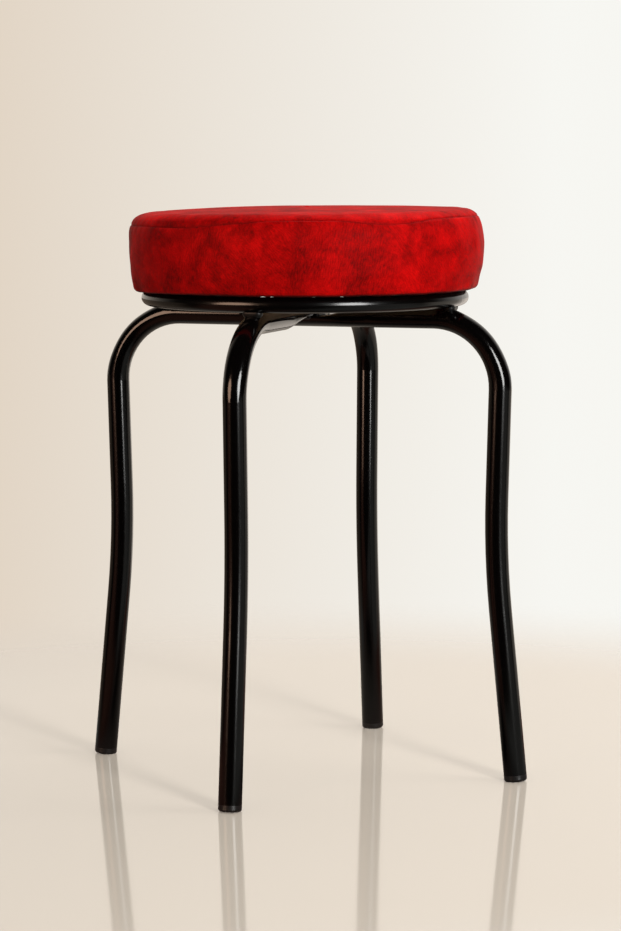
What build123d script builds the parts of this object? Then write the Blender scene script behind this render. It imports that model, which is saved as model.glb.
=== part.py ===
"""Round kitchen stool: two bent leg tubes crossed under a ring, and a padded vinyl seat."""

import os
from math import asin, atan2, cos, pi, sin, sqrt, tan

from build123d import *

# Leg tubes, in millimetres
TUBE_DIAMETER = 19.0
TUBE_WALL = 1.5
CROSS_HEIGHT = 383.0  # floor to the middle of the level runs
KNEE_CORNER_RADIUS = 170.5  # stool axis to the corner where a level run turns down
KNEE_RADIUS = 57.0
KNEE_FLAT_DEPTH = 1.4  # depth to which bending presses in the outside of a knee
KNEE_RAMP = 0.35  # share of the knee over which the flattening grows
KNEE_STATIONS = 10
WAIST_DEPTH = 5.2  # corner where a leg turns outwards again, inwards from the knee's corner
WAIST_HEIGHT = 189.5
WAIST_RADIUS = 758.0
FOOT_SPREAD_LENGTH = 18.5  # middle of a foot on the floor, outwards from the waist's corner

# Half-lap where the tubes cross: each is pressed flat to its middle
CRIMP_FLAT_LENGTH = 16.0  # stool axis to the end of the flat
CRIMP_EASE_LENGTH = 39.0  # length over which a tube goes from flat to round
CRIMP_STATIONS = 8
PRESS_SPREAD = 0.3  # width gained on each side for each millimetre pressed in
PRESS_CROWN_HEIGHT = 0.6  # slight crown left on a fully pressed face

# Foot caps
CAP_RIM_HEIGHT = 5.5  # height of the rim below the tube's end
CAP_EDGE_RADIUS = 2.0  # rounding of the rim's lower edge
CAP_WEAR_DEPTH = 0.5  # depth of the flat worn on the side that meets the floor
CAP_FLOOR_THICKNESS = 3.0  # thickness of the cap under its hollow
PLUG_LENGTH = 18.0
PLUG_WALL = 1.8
PLUG_CLEARANCE = 0.1  # clearance between the plug's barbs and the bore
BARB_HEIGHT = 0.8
BARB_PITCH = 5.0
BARB_COUNT = 3

# Ring under the seat
RING_BAR_DIAMETER = 12.7
RING_INSET_LENGTH = 12.7  # ring's middle line, inwards from the board's edge
RING_GAP = 1.5  # between the ring and the knees, filled by the welds

# Welds
RING_BEAD_LENGTH = 17.0
RING_BEAD_RADIUS = 4.6
RING_BEAD_SHIFT_LENGTH = 1.2  # middle of a ring weld, inwards from where ring and knee are closest
CROSS_BEAD_LENGTH = 20.0
CROSS_BEAD_RADIUS = 2.2
CROSS_BEAD_OFFSET_LENGTH = 0.7  # middle of a crossing weld, out of the corner on both sides
LUG_BEAD_LENGTH = 14.0
LUG_BEAD_RADIUS = 2.6
LUG_BEAD_OFFSET_LENGTH = 1.2  # middle of a lug weld, out of the corner on both sides

# Lugs that carry the seat, and their screws
LUG_COUNT = 4
LUG_ANGLE = 45.0  # first lug, from the side leg
LUG_WIDTH = 20.0
LUG_THICKNESS = 2.5
LUG_RISE_HEIGHT = 0.4  # lug's top, above the ring
LUG_CLEARANCE = 0.1  # between the corners of a lug's end and the ring
SCREW_INSET_LENGTH = 9.5  # screw, inwards from the hem's inner edge
SCREW_LENGTH = 12.0
SCREW_DIAMETER = 4.0
SCREW_CLEARANCE = 0.3  # between the screw and the lug's hole, all round
SCREW_POINT_LENGTH = 3.0
SCREW_HEAD_DIAMETER = 8.0
SCREW_HEAD_HEIGHT = 2.4
SCREW_SLOT_WIDTH = 1.1
SCREW_SLOT_DEPTH = 1.2

# Seat
VINYL_THICKNESS = 1.0
BOARD_RADIUS = 142.5
BOARD_THICKNESS = 12.0
HEM_ROLL_RADIUS = 4.5  # outer rounding where the band turns under the board
HEM_WIDTH = 30.0  # band turned under, from the side to the hem's inner edge
BULGE_DEPTH = 4.0  # swelling of the band past the board's edge
BULGE_HEIGHT = 26.8  # board's top to the widest place of the seat
SEAM_DEPTH = 0.8  # seam, inside the band at the board's edge
SEAM_HEIGHT = 46.8
SHOULDER_DEPTH = 12.5  # start of the crown, inside the band at the board's edge
SHOULDER_HEIGHT = 52.3
CROWN_HEIGHT = 2.7  # rise of the top's middle over the shoulder

# Tacks that hold the hem
TACK_COUNT = 24
TACK_INSET_LENGTH = 7.0  # tack, outwards from the hem's inner edge
TACK_DIAMETER = 1.6
TACK_LENGTH = 9.0
TACK_POINT_LENGTH = 3.0
TACK_HEAD_DIAMETER = 6.0
TACK_HEAD_HEIGHT = 1.0

# Directions and turns
HALF_TURN = 180.0
UP = Vector(0, 0, 1)
RIGHT = Vector(1, 0, 0)
BACK = Vector(0, 1, 0)
LEG_RUNS = {"right": RIGHT, "back": BACK, "left": -RIGHT, "front": -BACK}

# Places worked out from the sizes above
TUBE_RADIUS = TUBE_DIAMETER / 2
BORE_RADIUS = TUBE_RADIUS - TUBE_WALL
CRIMP_END = CRIMP_FLAT_LENGTH + CRIMP_EASE_LENGTH
WAIST_REACH = KNEE_CORNER_RADIUS - WAIST_DEPTH
FOOT_REACH = WAIST_REACH + FOOT_SPREAD_LENGTH
KNEE_LEAN = atan2(WAIST_DEPTH, CROSS_HEIGHT - WAIST_HEIGHT)
KNEE_TURN = pi / 2 + KNEE_LEAN
KNEE_START = KNEE_CORNER_RADIUS - KNEE_RADIUS * tan(KNEE_TURN / 2)
FOOT_LEAN = atan2(FOOT_SPREAD_LENGTH, WAIST_HEIGHT)
WAIST_TANGENT = WAIST_RADIUS * tan((KNEE_LEAN + FOOT_LEAN) / 2)  # corner to the bend's ends
CAP_DIP = (TUBE_RADIUS - CAP_EDGE_RADIUS) * sin(FOOT_LEAN) + CAP_EDGE_RADIUS * (1 - cos(FOOT_LEAN))
CAP_HEIGHT = CAP_DIP - CAP_WEAR_DEPTH
TUBE_END_HEIGHT = CAP_HEIGHT + CAP_RIM_HEIGHT * cos(FOOT_LEAN)
PLUG_RADIUS = BORE_RADIUS - PLUG_CLEARANCE - BARB_HEIGHT
RING_RADIUS = BOARD_RADIUS - RING_INSET_LENGTH
KNEE_TO_RING = KNEE_RADIUS + TUBE_RADIUS + RING_GAP + RING_BAR_DIAMETER / 2
RING_LEAN = asin((RING_RADIUS - KNEE_START) / KNEE_TO_RING)  # knee's middle to the ring's bar
RING_HEIGHT = CROSS_HEIGHT - KNEE_RADIUS + KNEE_TO_RING * cos(RING_LEAN)
SEAT_BOTTOM = RING_HEIGHT + RING_BAR_DIAMETER / 2 + LUG_RISE_HEIGHT
LUG_BOTTOM = SEAT_BOTTOM - LUG_THICKNESS
LUG_CORNER = RING_RADIUS - sqrt((RING_BAR_DIAMETER / 2) ** 2 - (LUG_BOTTOM - RING_HEIGHT) ** 2)
LUG_OUTER = sqrt(LUG_CORNER**2 - (LUG_WIDTH / 2) ** 2) - LUG_CLEARANCE
BOARD_BOTTOM = SEAT_BOTTOM + VINYL_THICKNESS
BOARD_TOP = BOARD_BOTTOM + BOARD_THICKNESS
SIDE_RADIUS = BOARD_RADIUS + VINYL_THICKNESS
HEM_INNER = SIDE_RADIUS - HEM_WIDTH
SCREW_CIRCLE_RADIUS = HEM_INNER - SCREW_INSET_LENGTH
HEM_EDGE = (SIDE_RADIUS - HEM_ROLL_RADIUS, SEAT_BOTTOM)
HEM_SIDE = (SIDE_RADIUS, SEAT_BOTTOM + HEM_ROLL_RADIUS)
BOARD_EDGE = (SIDE_RADIUS, BOARD_TOP)
BULGE_POINT = (SIDE_RADIUS + BULGE_DEPTH, BOARD_TOP + BULGE_HEIGHT)
SEAM_POINT = (SIDE_RADIUS - SEAM_DEPTH, BOARD_TOP + SEAM_HEIGHT)
SHOULDER_POINT = (SIDE_RADIUS - SHOULDER_DEPTH, BOARD_TOP + SHOULDER_HEIGHT)
CROWN_POINT = (0, BOARD_TOP + SHOULDER_HEIGHT + CROWN_HEIGHT)


def ease(share):
    """Smooth step from 0 to 1 that starts and ends level."""
    share = min(max(share, 0.0), 1.0)
    return share * share * (3 - 2 * share)


def swell_radius(inset, length):
    """Radius of an arc that starts along a line and leaves it by inset over length."""
    return (inset * inset + length * length) / (2 * inset)


# Leg tubes


def across(origin, heading, kept):
    """Plane across a tube, with its Y axis towards the side that stays round."""
    return Plane(origin=origin, x_dir=kept.cross(heading), z_dir=heading)


def half_outline(middle, half_width, depth, start):
    """Half of a tube's outline, round or squashed to an ellipse."""
    if depth == half_width:
        CenterArc((0, middle), half_width, start, HALF_TURN)
    else:
        EllipticalCenterArc((0, middle), half_width, depth, start, arc_size=HALF_TURN)


def pressed_section(plane, depth, hollow):
    """Section of a tube with the side away from the plane's Y axis pressed in by depth."""
    share = depth / TUBE_RADIUS
    half_width = TUBE_RADIUS + PRESS_SPREAD * depth
    middle = PRESS_CROWN_HEIGHT * share
    bore_middle = middle + TUBE_WALL * share
    bore_half_width = half_width - TUBE_WALL
    with BuildSketch(plane) as section:
        with BuildLine():
            half_outline(middle, half_width, TUBE_RADIUS - middle, 0)
            half_outline(middle, half_width, TUBE_RADIUS - depth + middle, HALF_TURN)
        make_face()
        if hollow:
            with BuildLine():
                half_outline(bore_middle, bore_half_width, BORE_RADIUS - bore_middle, 0)
                half_outline(bore_middle, bore_half_width, BORE_RADIUS - depth + bore_middle, HALF_TURN)
            make_face(mode=Mode.SUBTRACT)
    return section.sketch


def run_section(run, kept, reach, depth, hollow):
    """Section of a level run at a reach from the stool's axis."""
    return pressed_section(across(run * reach + UP * CROSS_HEIGHT, run, kept), depth, hollow)


def knee_plane(run, share):
    """Plane across the knee at a share of its turn, with its Y axis to the inside of the bend."""
    turn = KNEE_TURN * share
    outwards = run * sin(turn) + UP * cos(turn)
    heading = run * cos(turn) - UP * sin(turn)
    middle = run * KNEE_START + UP * (CROSS_HEIGHT - KNEE_RADIUS)
    return across(middle + outwards * KNEE_RADIUS, heading, -outwards)


def knee_section(run, share, hollow):
    """Section of the knee at a share of its turn, flattened on the outside of the bend."""
    depth = KNEE_FLAT_DEPTH * ease(min(share, 1 - share) / KNEE_RAMP)
    return pressed_section(knee_plane(run, share), depth, hollow)


def leg_tube(run, kept, hollow=True):
    """A U of tube along run, pressed flat at the middle on the side away from kept."""
    knee_end = knee_section(run, 1.0, hollow)
    shin_heading = -run * sin(KNEE_LEAN) - UP * cos(KNEE_LEAN)
    foot_heading = run * sin(FOOT_LEAN) - UP * cos(FOOT_LEAN)
    waist = run * WAIST_REACH + UP * WAIST_HEIGHT
    waist_start = waist - shin_heading * WAIST_TANGENT
    waist_end = waist + foot_heading * WAIST_TANGENT
    tube_end = run * (FOOT_REACH - TUBE_END_HEIGHT * tan(FOOT_LEAN)) + UP * TUBE_END_HEIGHT
    crimp_shares = [station / CRIMP_STATIONS for station in range(CRIMP_STATIONS + 1)]
    crimp = [
        run_section(run, kept, CRIMP_END - CRIMP_EASE_LENGTH * share, TUBE_RADIUS * ease(share), hollow)
        for share in crimp_shares
    ]
    knee = [knee_section(run, station / KNEE_STATIONS, hollow) for station in range(KNEE_STATIONS + 1)]
    with BuildPart() as tube:
        extrude(run_section(run, kept, 0, TUBE_RADIUS, hollow), amount=CRIMP_FLAT_LENGTH)
        loft(sections=crimp)
        extrude(run_section(run, kept, CRIMP_END, 0, hollow), amount=KNEE_START - CRIMP_END)
        loft(sections=knee)
        with BuildLine() as leg:
            Line(knee_plane(run, 1.0).origin, waist_start)
            TangentArc(waist_start, waist_end, tangent=shin_heading)
            Line(waist_end, tube_end)
        sweep(sections=knee_end, path=leg.line)
        mirror(about=Plane(origin=(0, 0, 0), z_dir=run))
    return tube


side_leg_tube = leg_tube(RIGHT, -UP)
side_leg_tube.part.label = "side_leg_tube"
front_leg_tube = leg_tube(BACK, UP)
front_leg_tube.part.label = "front_leg_tube"


# Foot caps


def foot_cap(run):
    """Ribbed plug in the end of a leg, with a rim that is worn flat on the floor."""
    axis = UP * cos(FOOT_LEAN) - run * sin(FOOT_LEAN)
    outwards = run * cos(FOOT_LEAN) + UP * sin(FOOT_LEAN)
    base = run * (FOOT_REACH - CAP_HEIGHT * tan(FOOT_LEAN)) + UP * CAP_HEIGHT
    plug_top = CAP_RIM_HEIGHT + PLUG_LENGTH
    hollow_radius = PLUG_RADIUS - PLUG_WALL
    with BuildPart() as cap:
        with BuildSketch(Plane(origin=base, x_dir=outwards, z_dir=outwards.cross(axis))) as profile:
            with BuildLine():
                Polyline(
                    (0, 0),
                    (TUBE_RADIUS, 0),
                    (TUBE_RADIUS, CAP_RIM_HEIGHT),
                    (PLUG_RADIUS, CAP_RIM_HEIGHT),
                    (PLUG_RADIUS, plug_top),
                    (hollow_radius, plug_top),
                    (hollow_radius, CAP_FLOOR_THICKNESS),
                    (0, CAP_FLOOR_THICKNESS),
                    close=True,
                )
            make_face()
            rim_corner = profile.vertices().group_by(Axis.Y)[0].sort_by(Axis.X)[-1]
            fillet(rim_corner, CAP_EDGE_RADIUS)
            for barb in range(BARB_COUNT):
                foot = CAP_RIM_HEIGHT + BARB_PITCH * (barb + 0.5)
                with BuildLine():
                    Polyline(
                        (PLUG_RADIUS, foot),
                        (PLUG_RADIUS + BARB_HEIGHT, foot),
                        (PLUG_RADIUS, foot + BARB_PITCH / 2),
                        close=True,
                    )
                make_face()
        revolve(axis=Axis(base, axis))
        split(bisect_by=Plane.XY, keep=Keep.TOP)
    return cap


foot_caps = {f"foot_cap_{side}": foot_cap(run) for side, run in LEG_RUNS.items()}
for name, cap in foot_caps.items():
    cap.part.label = name


# Ring and lugs

with BuildPart() as seat_ring:
    with BuildSketch(Plane.XZ):
        with Locations((RING_RADIUS, RING_HEIGHT)):
            Circle(RING_BAR_DIAMETER / 2)
    revolve(axis=Axis.Z)
seat_ring.part.label = "seat_ring"


def seat_lug(angle):
    """Flat lug against the inside of the ring, with a round end and a hole for the seat's screw."""
    lug_length = LUG_OUTER - SCREW_CIRCLE_RADIUS
    with BuildPart() as lug:
        with BuildSketch(Plane.XY.offset(LUG_BOTTOM).rotated((0, 0, angle))):
            with Locations((SCREW_CIRCLE_RADIUS, 0)):
                Rectangle(lug_length, LUG_WIDTH, align=(Align.MIN, Align.CENTER))
                Circle(LUG_WIDTH / 2)
                Circle(SCREW_DIAMETER / 2 + SCREW_CLEARANCE, mode=Mode.SUBTRACT)
        extrude(amount=LUG_THICKNESS)
    return lug


lug_angles = [LUG_ANGLE + 2 * HALF_TURN * lug / LUG_COUNT for lug in range(LUG_COUNT)]
seat_lugs = {f"seat_lug_{number}": seat_lug(angle) for number, angle in enumerate(lug_angles, 1)}
for name, lug in seat_lugs.items():
    lug.part.label = name


# Welds


def weld_bead(middle, along, length, radius, neighbours):
    """Round-ended bead of weld metal that lies against its neighbours."""
    with BuildPart() as bead:
        with BuildSketch(Plane(origin=middle, x_dir=along, z_dir=along.cross(UP))):
            SlotOverall(length, 2 * radius)
            Rectangle(length, radius, align=(Align.CENTER, Align.MAX), mode=Mode.SUBTRACT)
        revolve(axis=Axis(middle, along))
        for neighbour in neighbours:
            add(neighbour.part, mode=Mode.SUBTRACT)
    return bead.part


side_leg_core = leg_tube(RIGHT, -UP, hollow=False)
front_leg_core = leg_tube(BACK, UP, hollow=False)
leg_cores = (side_leg_core, front_leg_core)

ring_weld_drop = RING_GAP / 2 + RING_BAR_DIAMETER / 2
ring_weld_radius = RING_RADIUS - ring_weld_drop * sin(RING_LEAN) - RING_BEAD_SHIFT_LENGTH * cos(RING_LEAN)
ring_weld_height = RING_HEIGHT - ring_weld_drop * cos(RING_LEAN) + RING_BEAD_SHIFT_LENGTH * sin(RING_LEAN)
ring_beads = [
    weld_bead(
        run * ring_weld_radius + UP * ring_weld_height,
        run.cross(UP),
        RING_BEAD_LENGTH,
        RING_BEAD_RADIUS,
        (seat_ring, *leg_cores),
    )
    for run in LEG_RUNS.values()
]
with BuildPart() as ring_welds:
    add(ring_beads)
ring_welds.part.label = "ring_welds"

crossing_corner = TUBE_RADIUS * (1 + PRESS_SPREAD) + CROSS_BEAD_OFFSET_LENGTH
crossing_beads = [
    weld_bead(
        run * crossing_corner + UP * CROSS_HEIGHT + clear * CROSS_BEAD_OFFSET_LENGTH,
        run.cross(UP),
        CROSS_BEAD_LENGTH,
        CROSS_BEAD_RADIUS,
        leg_cores,
    )
    for run, clear in ((RIGHT, UP), (-RIGHT, UP), (BACK, -UP), (-BACK, -UP))
]
with BuildPart() as crossing_welds:
    add(crossing_beads)
crossing_welds.part.label = "crossing_welds"

lug_weld_middle = RIGHT * (LUG_CORNER - LUG_BEAD_OFFSET_LENGTH) + UP * (LUG_BOTTOM - LUG_BEAD_OFFSET_LENGTH)
lug_beads = [
    weld_bead(
        lug_weld_middle.rotate(Axis.Z, angle),
        BACK.rotate(Axis.Z, angle),
        LUG_BEAD_LENGTH,
        LUG_BEAD_RADIUS,
        (seat_ring, lug),
    )
    for angle, lug in zip(lug_angles, seat_lugs.values())
]
with BuildPart() as lug_welds:
    add(lug_beads)
lug_welds.part.label = "lug_welds"


# Screws and tacks


def fastener(head_diameter, head_height, shank_diameter, length, point):
    """Round-headed pin that points up, seated at the origin under its head."""
    head_radius = head_diameter / 2
    with BuildPart() as pin:
        with BuildSketch(Plane.XZ):
            with BuildLine():
                Line((0, length), (0, -head_height))
                RadiusArc((0, -head_height), (head_radius, 0), -swell_radius(head_height, head_radius))
                Polyline(
                    (head_radius, 0),
                    (shank_diameter / 2, 0),
                    (shank_diameter / 2, length - point),
                    (0, length),
                )
            make_face()
        revolve(axis=Axis.Z)
    return pin


screw = fastener(
    SCREW_HEAD_DIAMETER, SCREW_HEAD_HEIGHT, SCREW_DIAMETER, SCREW_LENGTH, SCREW_POINT_LENGTH
)
tack = fastener(TACK_HEAD_DIAMETER, TACK_HEAD_HEIGHT, TACK_DIAMETER, TACK_LENGTH, TACK_POINT_LENGTH)

with BuildPart(Plane.XY.offset(LUG_BOTTOM)) as seat_screws:
    with PolarLocations(SCREW_CIRCLE_RADIUS, LUG_COUNT, start_angle=LUG_ANGLE):
        add(screw.part)
        with Locations((0, 0, -SCREW_HEAD_HEIGHT)):
            Box(
                SCREW_SLOT_WIDTH,
                SCREW_HEAD_DIAMETER,
                SCREW_SLOT_DEPTH,
                align=(Align.CENTER, Align.CENTER, Align.MIN),
                mode=Mode.SUBTRACT,
            )
seat_screws.part.label = "seat_screws"

tack_start = LUG_ANGLE + HALF_TURN / TACK_COUNT
with BuildPart(Plane.XY.offset(SEAT_BOTTOM)) as hem_tacks:
    with PolarLocations(HEM_INNER + TACK_INSET_LENGTH, TACK_COUNT, start_angle=tack_start):
        add(tack.part)
hem_tacks.part.label = "hem_tacks"


# Seat


def side_curve():
    """Swelling side of the seat, from the board's top edge to the seam."""
    RadiusArc(BOARD_EDGE, BULGE_POINT, -swell_radius(BULGE_DEPTH, BULGE_HEIGHT))
    seam_radius = swell_radius(BULGE_DEPTH + SEAM_DEPTH, SEAM_HEIGHT - BULGE_HEIGHT)
    RadiusArc(BULGE_POINT, SEAM_POINT, -seam_radius)


def top_curve():
    """Rounded shoulder and crown of the seat, from the seam to the axis."""
    shoulder_fall = SHOULDER_HEIGHT - SEAM_HEIGHT
    RadiusArc(SEAM_POINT, SHOULDER_POINT, -swell_radius(shoulder_fall, SHOULDER_DEPTH - SEAM_DEPTH))
    RadiusArc(SHOULDER_POINT, CROWN_POINT, -swell_radius(CROWN_HEIGHT, SIDE_RADIUS - SHOULDER_DEPTH))


with BuildPart() as cover_side_band:
    with BuildSketch(Plane.XZ):
        with BuildLine():
            Line((HEM_INNER, SEAT_BOTTOM), HEM_EDGE)
            RadiusArc(HEM_EDGE, HEM_SIDE, -HEM_ROLL_RADIUS)
            Line(HEM_SIDE, BOARD_EDGE)
            side_curve()
            offset(amount=VINYL_THICKNESS, side=Side.LEFT)
        make_face()
    revolve(axis=Axis.Z)
    add(hem_tacks.part, mode=Mode.SUBTRACT)
cover_side_band.part.label = "cover_side_band"

with BuildPart() as cover_top_panel:
    with BuildSketch(Plane.XZ):
        with BuildLine():
            top_curve()
            offset(amount=VINYL_THICKNESS, side=Side.LEFT)
        make_face()
    revolve(axis=Axis.Z)
    add(cover_side_band.part, mode=Mode.SUBTRACT)
cover_top_panel.part.label = "cover_top_panel"

with BuildPart() as seat_board:
    with BuildSketch(Plane.XY.offset(BOARD_BOTTOM)):
        Circle(BOARD_RADIUS)
    extrude(amount=BOARD_THICKNESS)
    lower_edge = seat_board.edges().filter_by(GeomType.CIRCLE).sort_by(Axis.Z)[0]
    fillet(lower_edge, HEM_ROLL_RADIUS - VINYL_THICKNESS)
    add(seat_screws.part, mode=Mode.SUBTRACT)
    add(hem_tacks.part, mode=Mode.SUBTRACT)
seat_board.part.label = "seat_board"

with BuildPart() as seat_foam:
    with BuildSketch(Plane.XZ):
        with BuildLine():
            Line((0, BOARD_TOP), BOARD_EDGE)
            side_curve()
            top_curve()
            Line(CROWN_POINT, (0, BOARD_TOP))
        make_face()
    revolve(axis=Axis.Z)
    add(cover_side_band.part, mode=Mode.SUBTRACT)
    add(cover_top_panel.part, mode=Mode.SUBTRACT)
seat_foam.part.label = "seat_foam"

pieces = [side_leg_tube, front_leg_tube, seat_ring, ring_welds, crossing_welds, lug_welds]
pieces += [*foot_caps.values(), *seat_lugs.values(), seat_screws, hem_tacks]
pieces += [seat_board, seat_foam, cover_side_band, cover_top_panel]

os.makedirs("parts", exist_ok=True)
for piece in pieces:
    export_step(piece.part, f"parts/{piece.part.label}.step")
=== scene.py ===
import math
from bisect import bisect_right
from typing import NamedTuple

import bmesh
import bpy
from bpy.props import FloatProperty, FloatVectorProperty, IntProperty, PointerProperty
from mathutils import Matrix, Vector, noise


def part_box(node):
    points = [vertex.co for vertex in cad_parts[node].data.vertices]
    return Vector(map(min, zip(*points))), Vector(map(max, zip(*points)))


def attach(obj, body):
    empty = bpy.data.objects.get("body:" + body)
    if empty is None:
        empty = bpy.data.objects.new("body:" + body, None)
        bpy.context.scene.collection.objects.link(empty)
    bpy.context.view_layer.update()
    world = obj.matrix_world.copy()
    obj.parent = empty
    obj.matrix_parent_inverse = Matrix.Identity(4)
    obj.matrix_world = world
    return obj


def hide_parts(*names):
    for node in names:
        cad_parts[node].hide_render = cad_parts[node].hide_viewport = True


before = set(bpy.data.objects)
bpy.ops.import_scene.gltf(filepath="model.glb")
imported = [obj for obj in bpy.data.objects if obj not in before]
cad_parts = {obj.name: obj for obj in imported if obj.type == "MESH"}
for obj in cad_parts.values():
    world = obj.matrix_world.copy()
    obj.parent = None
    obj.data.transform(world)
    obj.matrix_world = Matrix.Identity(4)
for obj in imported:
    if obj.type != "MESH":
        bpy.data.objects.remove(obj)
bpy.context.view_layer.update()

bl_info = {
    "name": "Round kitchen stool",
    "version": (1, 0, 0),
    "blender": (4, 5, 0),
    "location": "3D View > Sidebar > Stool",
    "description": "Finishes and soft cover of a round stool on crossed tube legs",
    "category": "Object",
}

BODY = "root"
MILLIMETRE = 0.001
FULL_TURN = 2 * math.pi

band_low, band_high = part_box("cover_side_band")
panel_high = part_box("cover_top_panel")[1]
board_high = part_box("seat_board")[1]
ring_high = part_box("seat_ring")[1]


# Tables


class Bump(NamedTuple):
    """Smooth bump at a place round the seat."""

    angle: float  # degrees from the right leg
    half_width: float  # degrees
    amount: float  # millimetres


class PaintedGlow(NamedTuple):
    """Bright sector painted into the floor's glow for gloss rays, which the lacquer shows as a
    painted reflection.
    """

    direction: tuple
    reach: float  # metres that its tip lies behind the stool's axis
    inner: float  # half angle where it is full, in degrees
    outer: float  # half angle where it ends, in degrees
    near: float  # metres from the axis where it fades in
    full: float  # metres from the axis where it is full
    colour: tuple


class Lamp(NamedTuple):
    """Soft light that looks at the stool."""

    name: str
    place: tuple
    size: tuple
    watts: float
    colour: tuple
    shadow: bool = True


# Where the hand-made cover leaves its plain form
SEAM_SAGS = (
    Bump(-151.0, 75.0, -5.2),
    Bump(-111.0, 28.0, -2.6),
    Bump(-71.0, 20.0, 1.6),
    Bump(-43.0, 20.0, -3.4),
    Bump(-9.0, 24.0, 0.9),
    Bump(109.0, 80.0, -2.0),
)
HEM_SAGS = (
    Bump(-156.0, 55.0, -2.0),
    Bump(-50.0, 179.0, 0.4),
    Bump(109.0, 60.0, -0.8),
)
CROWN_SAGS = (
    Bump(-161.0, 80.0, -2.3),
    Bump(19.0, 90.0, 1.4),
)
SHOULDER_SWELLS = (Bump(-161.0, 80.0, 1.5),)

# Painted reflections: sectors of the floor that glow only for gloss rays, seen as highlights in the
# lacquer
PAINTED_FLOOR_GLOWS = (
    PaintedGlow((0.971, -0.24, 0.0), 0.5, 14.0, 26.0, 0.1, 0.3, (0.28, 0.28, 0.26, 1.0)),
    PaintedGlow((-0.654, -0.757, 0.0), 1.0, 5.0, 11.0, 0.1, 0.3, (0.24, 0.1, 0.07, 1.0)),
    PaintedGlow((0.79, -0.614, 0.0), 0.3, 6.0, 9.0, 2.3, 3.0, (2.2, 2.2, 2.15, 1.0)),
    PaintedGlow((-0.513, -0.859, 0.0), 0.3, 8.0, 12.0, 2.3, 3.0, (0.7, 0.36, 0.24, 1.0)),
    PaintedGlow((0.141, 0.99, 0.0), 0.0, 8.0, 16.0, 0.7, 0.9, (1.45, 1.3, 1.15, 1.0)),
)
LAMPS = (
    Lamp("Key", (2.24, -2.0, 1.7), (0.5, 1.4), 62.0, (1.0, 0.985, 0.96)),
    Lamp("Fill", (-0.76, -2.7, 0.9), (0.35, 1.2), 5.0, (1.0, 0.78, 0.58)),
    Lamp("Above", (0.3, 1.1, 2.3), (1.8, 1.8), 50.0, (1.0, 0.98, 0.95), shadow=False),
    Lamp("Side", (2.2, 0.35, 1.1), (1.2, 1.2), 18.0, (1.0, 0.98, 0.95)),
)
GLOSS_LAMPS = (
    Lamp("Key gloss", (2.37, -1.84, 1.05), (1.15, 1.9), 100.0, (1.0, 1.0, 0.98)),
    Lamp("Fill gloss", (-1.39, -2.32, 0.9), (1.3, 1.6), 40.0, (1.0, 0.64, 0.45)),
)


# Settings


def length_setting(name, description, default):
    """Property in metres."""
    return FloatProperty(name=name, description=description, default=default, unit="LENGTH")


def angle_setting(name, description, degrees):
    """Property that holds an angle."""
    return FloatProperty(
        name=name, description=description, default=math.radians(degrees), subtype="ANGLE"
    )


def colour_setting(name, description, default):
    """Property that holds a colour."""
    return FloatVectorProperty(
        name=name, description=description, default=default, subtype="COLOR", size=3
    )


class SeatSizes(bpy.types.PropertyGroup):
    """Form of the padded seat."""

    hem_width: length_setting("Hem width", "Vinyl turned under the board", 0.030)
    hem_roll: length_setting("Hem roll", "Rounding where the band turns under the board", 0.0045)
    vinyl: length_setting("Vinyl thickness", "Thickness of the cover", 0.001)
    bulge_height: length_setting(
        "Bulge height", "Widest place of the band above the board's top", 0.0268
    )
    seam_depth: length_setting(
        "Seam depth", "How far the seam lies inside the band at the board's edge", 0.0008
    )
    shoulder_depth: length_setting(
        "Shoulder depth", "Start of the crown, inside the band at the board's edge", 0.0125
    )
    crown: length_setting("Crown", "Rise of the top's middle over its shoulder", 0.0027)
    groove: length_setting("Seam groove", "Depth of the groove along the sewn seam", 0.0005)
    segments: IntProperty(
        name="Segments",
        description="Faces round the seat",
        default=360,
        min=96,
    )


class Colours(bpy.types.PropertyGroup):
    """Colours of the finishes."""

    vinyl_dark: colour_setting(
        "Vinyl dark", "Dark clouds of the marbled vinyl", (0.14, 0.0002, 0.0002)
    )
    vinyl_middle: colour_setting(
        "Vinyl red", "Ground colour of the marbled vinyl", (0.32, 0.0004, 0.0004)
    )
    vinyl_bright: colour_setting(
        "Vinyl bright", "Bright clouds of the marbled vinyl", (0.56, 0.0015, 0.0015)
    )
    lacquer: colour_setting("Lacquer", "Gloss black of the steel frame", (0.0008, 0.0005, 0.0005))
    cap: colour_setting("Foot cap", "Black plastic of the foot caps", (0.006, 0.005, 0.005))
    plywood: colour_setting("Plywood", "Bare wood of the seat board", (0.38, 0.25, 0.14))
    zinc: colour_setting("Zinc", "Plating of the screws and tacks", (0.62, 0.60, 0.55))
    floor: colour_setting("Floor", "Pale floor of the stage", (0.56, 0.505, 0.44))


class StageSettings(bpy.types.PropertyGroup):
    """View of the stool."""

    azimuth: angle_setting("Azimuth", "Turn of the view from straight in front", 19.17)
    pitch: angle_setting("Pitch", "How far the view looks down", 6.2)
    yaw: angle_setting("Yaw", "How far the view looks to the right of the stool's axis", 0.095)
    roll: angle_setting("Roll", "Turn of the picture", -0.11)
    distance: length_setting("Distance", "Camera to the stool's axis", 2.571)
    height: length_setting("Height", "Camera above the floor", 0.5358)
    lens: FloatProperty(
        name="Lens",
        description="Focal length in millimetres",
        default=119.29,
    )


# Node helpers


def fill(tree, node, inputs):
    """Sets or links a node's inputs by name or number."""
    for name, value in inputs.items():
        if isinstance(value, bpy.types.NodeSocket):
            tree.links.new(value, node.inputs[name])
        else:
            node.inputs[name].default_value = value


def put(tree, kind, inputs=None, **settings):
    """Adds a node with its settings and inputs."""
    node = tree.nodes.new(kind)
    for name, value in settings.items():
        setattr(node, name, value)
    fill(tree, node, inputs or {})
    return node


def calc(tree, operation, *values):
    """Math node on values or sockets."""
    return put(tree, "ShaderNodeMath", dict(enumerate(values)), operation=operation).outputs[0]


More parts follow.
